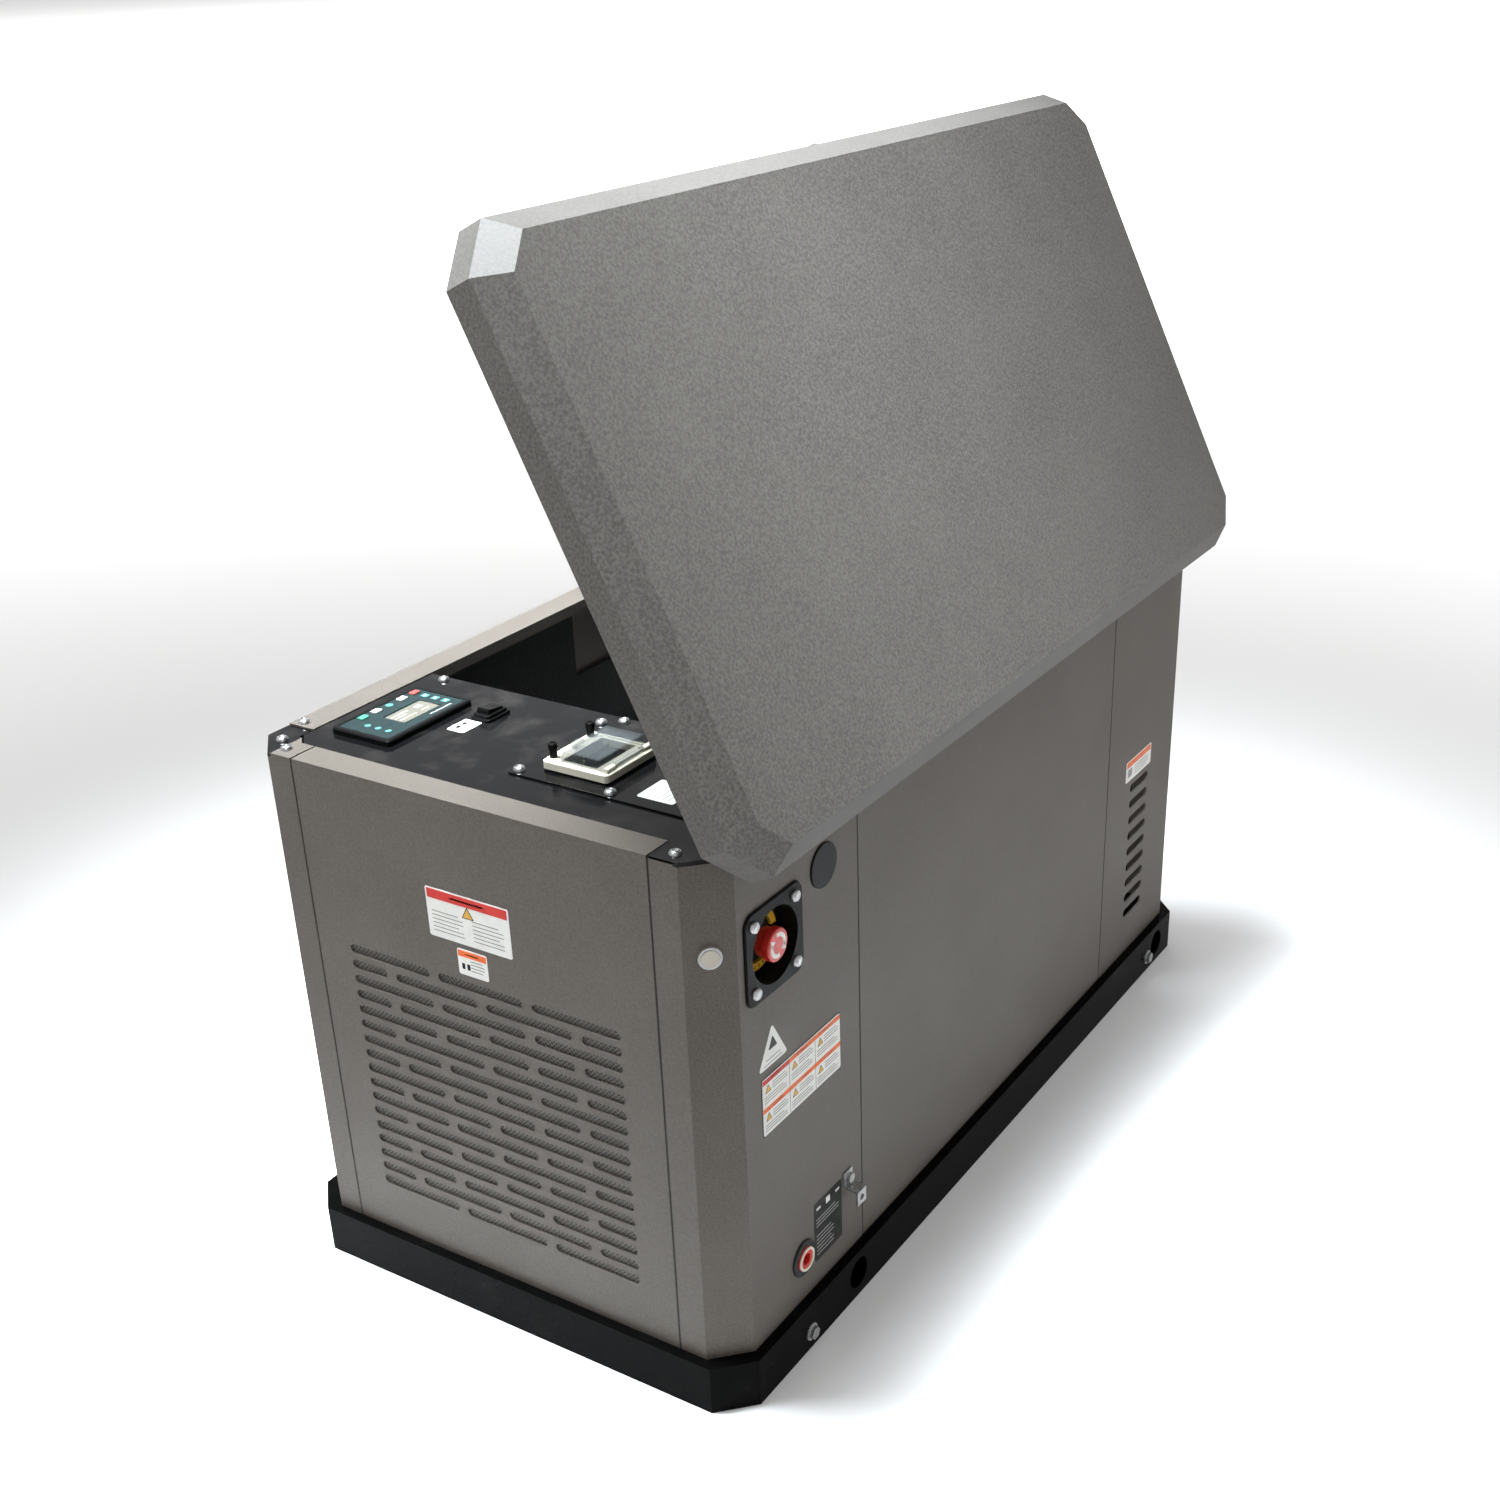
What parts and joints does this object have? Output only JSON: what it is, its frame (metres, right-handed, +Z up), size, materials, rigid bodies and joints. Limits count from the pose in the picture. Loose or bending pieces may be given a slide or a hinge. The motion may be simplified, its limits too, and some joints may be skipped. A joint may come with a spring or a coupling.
{
  "type": "home standby generator",
  "caption": "Weatherproof steel cabinet for a fixed standby engine-generator, hinged lid propped open on gas struts, control panel and engine inside",
  "frame": {"origin": "centre of the base tray's underside, in the middle of the hold-down hole pattern", "axes": "+X along the long side towards the exhaust end, +Y from the hinge side to the back, +Z up"},
  "size_m": [1.218, 0.6854, 1.2114],
  "materials": {
    "base_tray": "gloss black enamel",
    "front_left_panel": "warm grey powder coat, fine texture",
    "front_right_panel": "warm grey powder coat, fine texture",
    "rear_posts": "warm grey powder coat, fine texture",
    "rear_panel": "warm grey powder coat, fine texture",
    "front_door": "warm grey powder coat, fine texture",
    "front_top_rail": "warm grey powder coat, fine texture",
    "intake_end_panel": "warm grey powder coat, fine texture",
    "intake_mesh": "black wire mesh",
    "exhaust_end_panel": "warm grey powder coat, fine texture",
    "corner_gussets": "gloss black enamel",
    "control_panel": "gloss black enamel",
    "breaker_plate": "gloss black enamel",
    "bulkheads": "bare galvanised sheet",
    "controller_housing": "black moulded plastic",
    "controller_fascia": "teal grey printed overlay",
    "rocker_housing": "black moulded plastic",
    "breaker_base": "black moulded plastic",
    "breaker_frame": "cream moulded plastic",
    "breaker_module": "black moulded breaker",
    "estop_plate": "warm grey powder coat, fine texture",
    "estop_cup": "black moulded plastic",
    "status_lamp": "cream moulded plastic",
    "blanking_plug": "black moulded plastic",
    "fuel_inlet": "black rubber",
    "fuel_cap": "cream moulded plastic",
    "ground_bracket": "zinc plated steel",
    "fasteners": "zinc plated steel",
    "hinge_base_leaves": "zinc plated steel",
    "strut_base_mounts": "satin black paint",
    "isolators": "black rubber",
    "engine_rails": "satin black paint",
    "crankcase": "cast aluminium",
    "cylinders": "cast aluminium",
    "valve_covers": "cast aluminium",
    "fan_shroud": "black moulded plastic",
    "alternator": "cast aluminium",
    "air_filter_box": "black moulded plastic",
    "muffler": "aluminised steel",
    "battery": "black moulded plastic",
    "lid_shell": "warm grey powder coat, fine texture",
    "lid_liner": "sound-deadening foam board",
    "hinge_lid_leaves": "zinc plated steel",
    "strut_lid_mounts": "satin black paint",
    "lid_latch": "zinc plated steel",
    "strut_tubes": "satin black paint",
    "strut_rods": "zinc plated steel",
    "estop_head": "red moulded mushroom head",
    "estop_plunger": "zinc plated steel",
    "key_start": "green moulded key",
    "key_auto": "white moulded key",
    "key_manual": "white moulded key",
    "key_stop": "red moulded key",
    "rocker_paddle": "black moulded plastic",
    "breaker_window": "smoked clear window",
    "breaker_toggle": "black moulded breaker",
    "thumb_knob_left": "black moulded plastic",
    "thumb_knob_right": "black moulded plastic",
    "crankshaft": "machined steel",
    "cooling_fan": "black moulded plastic"
  },
  "bodies": {
    "enclosure": {"base_tray": "base_tray", "front_left_panel": "front_left_panel", "front_right_panel": "front_right_panel", "rear_posts": "rear_posts", "rear_panel": "rear_panel", "front_door": "front_door", "front_top_rail": "front_top_rail", "intake_end_panel": "intake_end_panel", "intake_mesh": "intake_mesh", "exhaust_end_panel": "exhaust_end_panel", "corner_gussets": "corner_gussets", "control_panel": "control_panel", "breaker_plate": "breaker_plate", "bulkheads": "bulkheads", "controller_housing": "controller_housing", "controller_fascia": "controller_fascia", "rocker_housing": "rocker_housing", "breaker_base": "breaker_base", "breaker_frame": "breaker_frame", "breaker_module": "breaker_module", "estop_plate": "estop_plate", "estop_cup": "estop_cup", "status_lamp": "status_lamp", "blanking_plug": "blanking_plug", "fuel_inlet": "fuel_inlet", "fuel_cap": "fuel_cap", "ground_bracket": "ground_bracket", "fasteners": "fasteners", "hinge_base_leaves": "hinge_base_leaves", "strut_base_mounts": "strut_base_mounts", "isolators": "isolators", "engine_rails": "engine_rails", "crankcase": "crankcase", "cylinders": "cylinders", "valve_covers": "valve_covers", "fan_shroud": "fan_shroud", "alternator": "alternator", "air_filter_box": "air_filter_box", "muffler": "muffler", "battery": "battery"},
    "lid": {"lid_shell": "lid_shell", "lid_liner": "lid_liner", "hinge_lid_leaves": "hinge_lid_leaves", "strut_lid_mounts": "strut_lid_mounts"},
    "latch": {"lid_latch": "lid_latch"},
    "strut_tube_pair": {"strut_tubes": "strut_tubes"},
    "strut_rod_pair": {"strut_rods": "strut_rods"},
    "stop_button": {"estop_head": "estop_head", "estop_plunger": "estop_plunger"},
    "start_key": {"key_start": "key_start"},
    "auto_key": {"key_auto": "key_auto"},
    "manual_key": {"key_manual": "key_manual"},
    "stop_key": {"key_stop": "key_stop"},
    "rocker": {"rocker_paddle": "rocker_paddle"},
    "window": {"breaker_window": "breaker_window"},
    "toggle": {"breaker_toggle": "breaker_toggle"},
    "knob_left": {"thumb_knob_left": "thumb_knob_left"},
    "knob_right": {"thumb_knob_right": "thumb_knob_right"},
    "rotor": {"crankshaft": "crankshaft", "cooling_fan": "cooling_fan"}
  },
  "joints": [
    {"name": "lid_hinge", "type": "hinge", "parent": "enclosure", "child": "lid", "pos_m": [0, -0.3085, 0.6327], "axis": [1, 0, 0], "range_deg": [-64, 0]},
    {"name": "latch_turn", "type": "hinge", "parent": "lid", "child": "latch", "pos_m": [0, -0.05721, 1.20496], "axis": [0, 0.4384, 0.8988], "range_deg": [-90, 0]},
    {"name": "strut_tube_pivot", "type": "hinge", "parent": "enclosure", "child": "strut_tube_pair", "pos_m": [0, -0.28, 0.3944], "axis": [1, 0, 0], "range_deg": [-32, 0]},
    {"name": "strut_rod_pivot", "type": "hinge", "parent": "lid", "child": "strut_rod_pair", "pos_m": [0, -0.21088, 0.85195], "axis": [1, 0, 0], "range_deg": [0, 32]},
    {"name": "stop_button_press", "type": "slide", "parent": "enclosure", "child": "stop_button", "axis": [0, 1, 0], "range_m": [0, 0.004], "stiffness_N_per_m": 1500},
    {"name": "start_key_press", "type": "slide", "parent": "enclosure", "child": "start_key", "axis": [0, 0, -1], "range_m": [0, 0.0012], "stiffness_N_per_m": 800},
    {"name": "auto_key_press", "type": "slide", "parent": "enclosure", "child": "auto_key", "axis": [0, 0, -1], "range_m": [0, 0.0012], "stiffness_N_per_m": 800},
    {"name": "manual_key_press", "type": "slide", "parent": "enclosure", "child": "manual_key", "axis": [0, 0, -1], "range_m": [0, 0.0012], "stiffness_N_per_m": 800},
    {"name": "stop_key_press", "type": "slide", "parent": "enclosure", "child": "stop_key", "axis": [0, 0, -1], "range_m": [0, 0.0012], "stiffness_N_per_m": 800},
    {"name": "rocker_tilt", "type": "hinge", "parent": "enclosure", "child": "rocker", "pos_m": [-0.403, 0.122, 0.66], "axis": [0, 1, 0], "range_deg": [-18, 0]},
    {"name": "window_hinge", "type": "hinge", "parent": "enclosure", "child": "window", "pos_m": [-0.451, -0.103, 0.6695], "axis": [1, 0, 0], "range_deg": [0, 110]},
    {"name": "toggle_tilt", "type": "hinge", "parent": "enclosure", "child": "toggle", "pos_m": [-0.451, -0.066, 0.658], "axis": [1, 0, 0], "range_deg": [0, 40]},
    {"name": "knob_left_turn", "type": "hinge", "parent": "enclosure", "child": "knob_left", "pos_m": [-0.482, -0.031, 0.675], "axis": [0, 0, 1], "continuous": true},
    {"name": "knob_right_turn", "type": "hinge", "parent": "enclosure", "child": "knob_right", "pos_m": [-0.42, -0.031, 0.675], "axis": [0, 0, 1], "continuous": true},
    {"name": "rotor_spin", "type": "hinge", "parent": "enclosure", "child": "rotor", "pos_m": [0, 0, 0.252], "axis": [1, 0, 0], "continuous": true}
  ],
  "couplings": [
    {"joint": "strut_tube_pivot", "follows": "lid_hinge", "ratio": 0.5},
    {"joint": "strut_rod_pivot", "follows": "lid_hinge", "ratio": -0.5}
  ]
}
